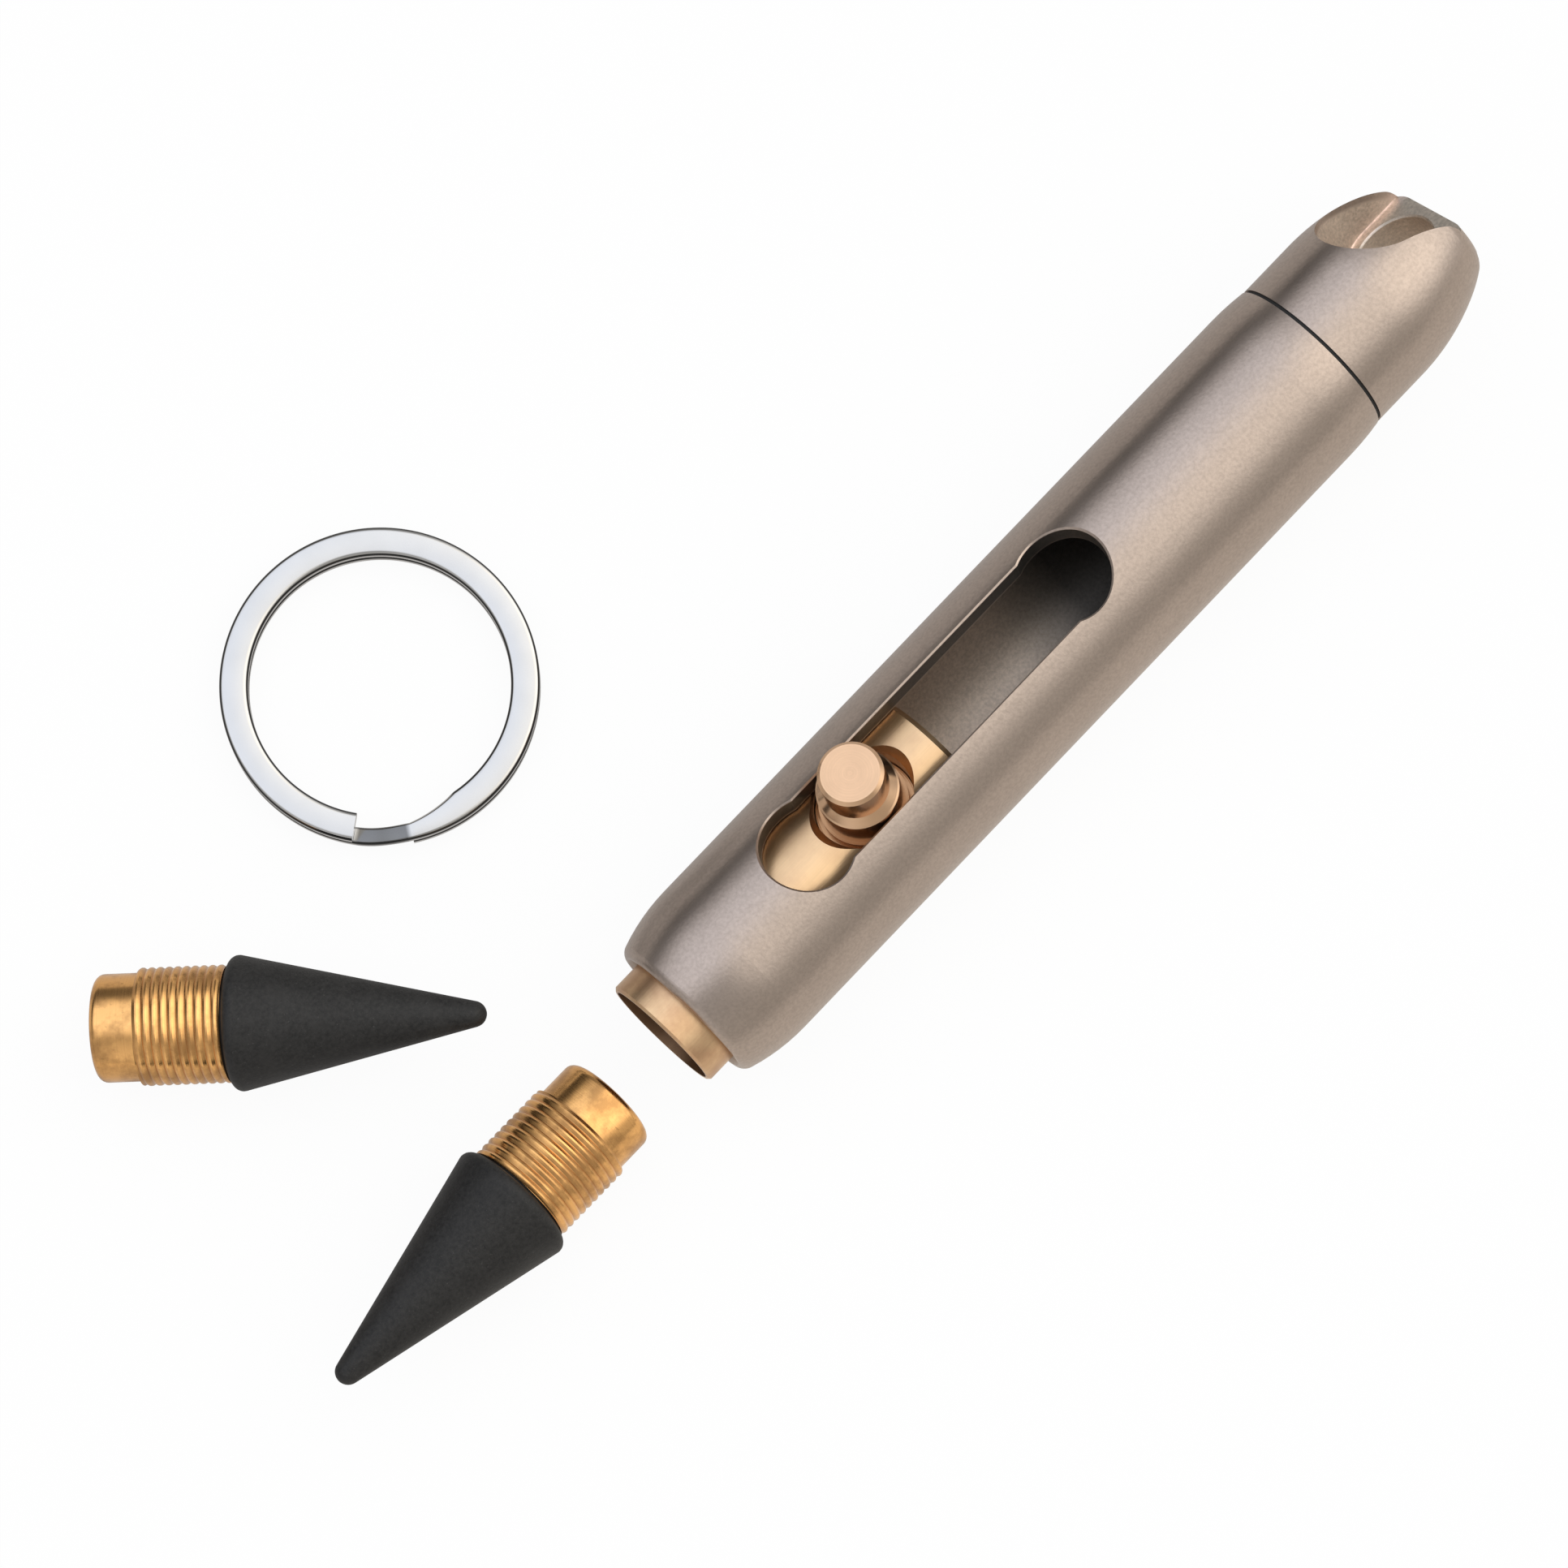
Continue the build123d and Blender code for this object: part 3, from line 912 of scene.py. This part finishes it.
def wind_thread(screw):
    """The thread's outline, drawn along the axis, wound once round it and cut flat at both ends."""
    crest = screw.thread_diameter / 2
    root = crest - screw.thread_depth
    flank = (RIDGE_FOOT_SHARE - RIDGE_CREST_SHARE) / 2 * screw.thread_pitch
    thread_end = screw.neck_length + screw.thread_length
    turns = math.ceil(screw.thread_length / screw.thread_pitch) + SPARE_TURNS
    start = screw.neck_length - SPARE_TURNS / 2 * screw.thread_pitch
    outline = (
        (screw.thread_depth, flank),
        (0.0, RIDGE_CREST_SHARE * screw.thread_pitch),
        (-screw.thread_depth, flank),
        (0.0, (1.0 - RIDGE_FOOT_SHARE) * screw.thread_pitch),
    )
    bpy.ops.object.select_all(action="DESELECT")
    bpy.ops.mesh.primitive_plane_add(size=screw.thread_pitch, location=(root, 0.0, start))
    bpy.ops.object.transform_apply(location=True)
    bpy.ops.object.mode_set(mode="EDIT")
    bpy.ops.mesh.select_all(action="SELECT")
    bpy.ops.mesh.merge(type="CENTER")
    for outward, upward in outline * turns:
        shift = (outward, 0.0, upward)
        bpy.ops.mesh.extrude_region_move(TRANSFORM_OT_translate={"value": shift})
    bpy.ops.object.mode_set(mode="OBJECT")
    sleeve = bpy.context.active_object
    wind_up(sleeve, math.tau, screw.thread_pitch, ROUND_STEPS)
    for height, upward in ((screw.neck_length, -1.0), (thread_end, 1.0)):
        bpy.ops.mesh.select_all(action="SELECT")
        bpy.ops.mesh.bisect(
            plane_co=(0.0, 0.0, height), plane_no=(0.0, 0.0, upward),
            use_fill=True, clear_outer=True, threshold=MERGE_DISTANCE,
        )
    close_mesh()
    return sleeve


def lay_screw_end(ferrule, screw, tip, heading):
    """Lay a screw end where its tip lies. Returns where its axis starts and its direction."""
    step = screw.thread_length / round(screw.thread_length / screw.thread_pitch)
    thread_end = screw.neck_length + screw.thread_length
    last_crest = thread_end - step * (1.0 - RIDGE_CREST_SHARE) / 2
    rise = math.atan2((screw.cone_diameter - screw.thread_diameter) / 2, last_crest)
    middle = (thread_end + screw.pilot_length - screw.cone_length) / 2
    headed = Matrix.Rotation(heading - math.pi, 4, "Z")
    turned = headed @ Matrix.Rotation(rise + math.pi / 2, 4, "Y")
    moved = Matrix.Translation((0.0, 0.0, -middle))
    placed = Matrix.Translation(resting_place(tip)) @ turned @ moved
    ferrule.matrix_world = placed
    pick(ferrule)
    bpy.ops.object.transform_apply(location=True, rotation=True, scale=True)
    lowest = min(vertex.co.z for vertex in ferrule.data.vertices)
    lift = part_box(f"{tip}_ferrule")[0][2] - lowest
    ferrule.location.z = lift
    bpy.ops.object.transform_apply(location=True)
    base = placed.translation + Vector((0.0, 0.0, lift))
    return base, turned.to_3x3() @ Vector((0.0, 0.0, 1.0))


class PENCIL_OT_ring(bpy.types.Operator):
    """Finish the split key ring"""

    bl_idname = "pencil.finish_ring"
    bl_label = "Finish Key Ring"

    def execute(self, context):
        centre = resting_place("ring")
        sizes = context.scene.pencil_ring
        ring = wind_split_ring(sizes)
        ring.name = "split_ring"
        ring.data.materials.append(bright_chrome(context.scene.pencil_look, sizes, centre))
        ring.location = centre
        bpy.ops.object.transform_apply(location=True)
        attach(ring, "ring")
        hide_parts("key_ring")
        return {"FINISHED"}


def wind_split_ring(ring):
    """One rounded band wound twice round, flat but for the ramp between its two turns."""
    turn = math.tau - ring.ramp_angle
    climb = ring.turn_thickness + ring.turn_gap
    angle = ring.ramp_start - turn
    band = make_band_section(ring, angle)
    wide, narrow = ring.band_width, ring.joint_width
    stretches = (
        (ring.taper_angle, narrow, wide, 0.0),
        (turn - 2 * ring.taper_angle, wide, wide, 0.0),
        (ring.taper_angle, wide, narrow, 0.0),
        (ring.ramp_angle, narrow, narrow, climb),
        (ring.taper_angle, narrow, wide, 0.0),
        (turn - ring.taper_angle, wide, wide, 0.0),
    )
    for sweep, first_width, last_width, rise in stretches:
        steps = math.ceil(sweep / math.tau * RING_STEPS)
        for step in range(steps):
            angle += sweep / steps
            bpy.ops.mesh.spin(
                steps=1, angle=-sweep / steps, center=(0.0, 0.0, 0.0), axis=(0.0, 0.0, 1.0)
            )
            before = first_width + (last_width - first_width) * step / steps
            after = first_width + (last_width - first_width) * (step + 1) / steps
            narrow_band(ring, angle, after / before)
            target = rise * (1.0 - math.cos(math.pi * (step + 1) / steps)) / 2
            lifted = rise * (1.0 - math.cos(math.pi * step / steps)) / 2
            bpy.ops.transform.translate(value=(0.0, 0.0, target - lifted))
    close_mesh()
    bpy.ops.object.shade_smooth_by_angle(angle=SMOOTH_RING)
    flat_sides = band.modifiers.new("flat_sides", "WEIGHTED_NORMAL")
    flat_sides.keep_sharp = True
    bpy.ops.object.modifier_apply(modifier=flat_sides.name)
    return band


def make_band_section(ring, angle):
    """The band's rounded section at its lower end, as a face that is selected in edit mode."""
    middle = (ring.outer_diameter - ring.band_width) / 2
    bpy.ops.object.select_all(action="DESELECT")
    bpy.ops.mesh.primitive_plane_add(size=1.0, rotation=(math.pi / 2, 0.0, 0.0))
    band = bpy.context.active_object
    band.scale = (ring.band_width, ring.turn_thickness, 1.0)
    band.location = (middle, 0.0, ring.turn_thickness / 2)
    bpy.ops.object.transform_apply(location=True, rotation=True, scale=True)
    band.rotation_euler.z = angle
    bpy.ops.object.transform_apply(rotation=True)
    bpy.ops.object.mode_set(mode="EDIT")
    bpy.ops.mesh.select_all(action="SELECT")
    bpy.ops.mesh.bevel(offset=ring.edge_radius, segments=EDGE_STEPS, affect="VERTICES")
    bpy.ops.mesh.select_all(action="SELECT")
    narrow_band(ring, angle, ring.joint_width / ring.band_width)
    return band


def narrow_band(ring, angle, share):
    """Bring the selected section's inner side nearer to its outer side."""
    outer = ring.outer_diameter / 2
    rim = (outer * math.cos(angle), outer * math.sin(angle), 0.0)
    bpy.ops.transform.resize(value=(share, share, 1.0), center_override=rim)


def resting_place(body):
    """Where the joint of a loose piece stands."""
    joints = frame["record"]["behaviour"]["joints"]
    return next(joint["pos_m"] for joint in joints if joint["child"] == body)


class PENCIL_OT_studio(bpy.types.Operator):
    """Set the floor, the lights and the camera"""

    bl_idname = "pencil.set_studio"
    bl_label = "Set Studio"

    def execute(self, context):
        studio = context.scene.pencil_studio
        lay_floor(studio)
        set_world(context.scene, studio)
        set_camera(context.scene, studio)
        context.scene.view_settings.view_transform = "Standard"
        return {"FINISHED"}


def lay_floor(studio):
    """A white floor for the camera that metal sees as two greys, one on each side of the pencil."""
    bpy.ops.object.select_all(action="DESELECT")
    bpy.ops.mesh.primitive_plane_add(size=studio.floor_size, location=(0.0, 0.0, CAD_BOX[0][2]))
    floor = bpy.context.active_object
    floor.name = "studio_floor"
    bpy.ops.object.transform_apply(location=True)
    material, shader = new_finish("studio_white")
    path = shader.add("ShaderNodeLightPath")
    mirrored = path["Is Glossy Ray"].largest(path["Is Transmission Ray"])
    seen = (FLOOR_SEEN * path["Is Camera Ray"]).largest(FLOOR_MIRRORED * mirrored)
    side = shader.spread(shader.along(Y_AXIS), -studio.floor_blend, studio.floor_blend)
    grey = shader.mix(side, rgba(studio.floor_right), rgba(studio.floor_left))
    colour = shader.mix(mirrored, WHITE, grey)
    paint = shader.add("ShaderNodeBsdfDiffuse", {}, {"Color": FLOOR_PAINT})["BSDF"]
    white = shader.add("ShaderNodeEmission", {}, {"Color": colour, "Strength": 1.0})["Emission"]
    both = shader.add("ShaderNodeMixShader", {}, {0: seen, 1: paint, 2: white})["Shader"]
    shader.add("ShaderNodeOutputMaterial", {}, {"Surface": both})
    floor.data.materials.append(material)


def set_world(scene, studio):
    """White for the camera, and for the object a dim surround with two soft boxes overhead."""
    world = bpy.data.worlds.new("studio_air")
    world.use_nodes = True
    scene.world = world
    shader = Shader(world.node_tree)
    direction = shader.add("ShaderNodeTexCoord")["Generated"]
    parts = shader.parts(direction)
    low = shader.spread(parts["Z"], math.sin(studio.horizon_height), 0.0)
    ends = studio.end_fill * parts["X"] * parts["X"]
    fill = studio.fill - studio.fill_lean * parts["Y"] + ends
    fill = fill * (1.0 - studio.horizon_dim * low)
    left = soft_box(shader, studio, direction, studio.left_aim)
    right = soft_box(shader, studio, direction, studio.right_aim)
    left_light = (left * studio.left_strength) ** 2.0
    right_light = (right * studio.right_strength) ** 2.0
    light = (left_light + right_light).root() + fill
    path = shader.add("ShaderNodeLightPath")
    seen = path["Is Camera Ray"].largest(path["Is Transmission Ray"])
    cool = shader.mix(left * (1.0 - right) * (1.0 - seen), WHITE, rgba(studio.left_tint))
    warmth = (right * (1.0 - left)).largest(shader.spread(parts["Y"], *WARM_SIDE))
    tint = shader.mix(warmth * (1.0 - seen), cool, rgba(studio.right_tint))
    sockets = {"Color": tint, "Strength": light + (1.0 - light) * seen}
    sky = shader.add("ShaderNodeBackground", {}, sockets)["Background"]
    shader.add("ShaderNodeOutputWorld", {}, {"Surface": sky})


def soft_box(shader, studio, direction, aim):
    """1 where a direction looks into a soft box, fading to 0 around it."""
    facing = shader.dot(direction, Vector(aim).normalized())
    edge, core = math.cos(studio.box_spread), math.cos(studio.box_core)
    sockets = {"Value": facing, "From Min": edge, "From Max": core}
    settings = {"interpolation_type": "SMOOTHSTEP"}
    return shader.add("ShaderNodeMapRange", settings, sockets)["Result"]


def set_camera(scene, studio):
    """A long lens that looks down at the pencil as the photograph does."""
    elevation = studio.camera_elevation
    heading = studio.camera_heading
    level = math.cos(elevation)
    back = Vector((-level * math.cos(heading), -level * math.sin(heading), math.sin(elevation)))
    right = Vector((math.sin(heading), -math.cos(heading), 0.0))
    up = back.cross(right)
    bpy.ops.object.select_all(action="DESELECT")
    bpy.ops.object.camera_add()
    camera = bpy.context.active_object
    camera.name = "studio_camera"
    turned = Matrix((right, up, back)).transposed().to_4x4()
    camera.matrix_world = Matrix.Translation(Vector(studio.camera_place)) @ turned
    camera.data.sensor_width = SENSOR_WIDTH
    camera.data.lens = SENSOR_WIDTH * LENS_IN_PIXELS / PHOTO_SIDE
    camera.data.clip_start = NEAR_CLIP
    scene.camera = camera


class PENCIL_PT_panel(bpy.types.Panel):
    """Lists the pencil's pieces and its studio"""

    bl_idname = "PENCIL_PT_panel"
    bl_label = "Pocket Metal Pencil"
    bl_space_type = "VIEW_3D"
    bl_region_type = "UI"
    bl_category = "Pencil"

    def draw(self, context):
        column = self.layout.column()
        for operator in OPERATORS:
            column.operator(operator.bl_idname)
        for group_name in GROUPS:
            group = getattr(context.scene, group_name)
            box = self.layout.box()
            for name in group.bl_rna.properties.keys():
                if name not in ("rna_type", "name"):
                    box.prop(group, name)


OPERATORS = (PENCIL_OT_body, PENCIL_OT_carriage, PENCIL_OT_tips, PENCIL_OT_ring, PENCIL_OT_studio)
GROUPS = {
    "pencil_look": PencilLook,
    "pencil_screw": PencilScrew,
    "pencil_ring": PencilRing,
    "pencil_spring": PencilSpring,
    "pencil_studio": PencilStudio,
}
CLASSES = (*GROUPS.values(), *OPERATORS, PENCIL_PT_panel)


def register():
    for cls in CLASSES:
        bpy.utils.register_class(cls)
    for name, group in GROUPS.items():
        setattr(bpy.types.Scene, name, bpy.props.PointerProperty(type=group))


def unregister():
    for name in GROUPS:
        delattr(bpy.types.Scene, name)
    for cls in reversed(CLASSES):
        bpy.utils.unregister_class(cls)


def main():
    register()
    bpy.ops.pencil.finish_body()
    bpy.ops.pencil.finish_carriage()
    bpy.ops.pencil.finish_tips()
    bpy.ops.pencil.finish_ring()
    bpy.ops.pencil.set_studio()


if __name__ == "__main__":
    main()
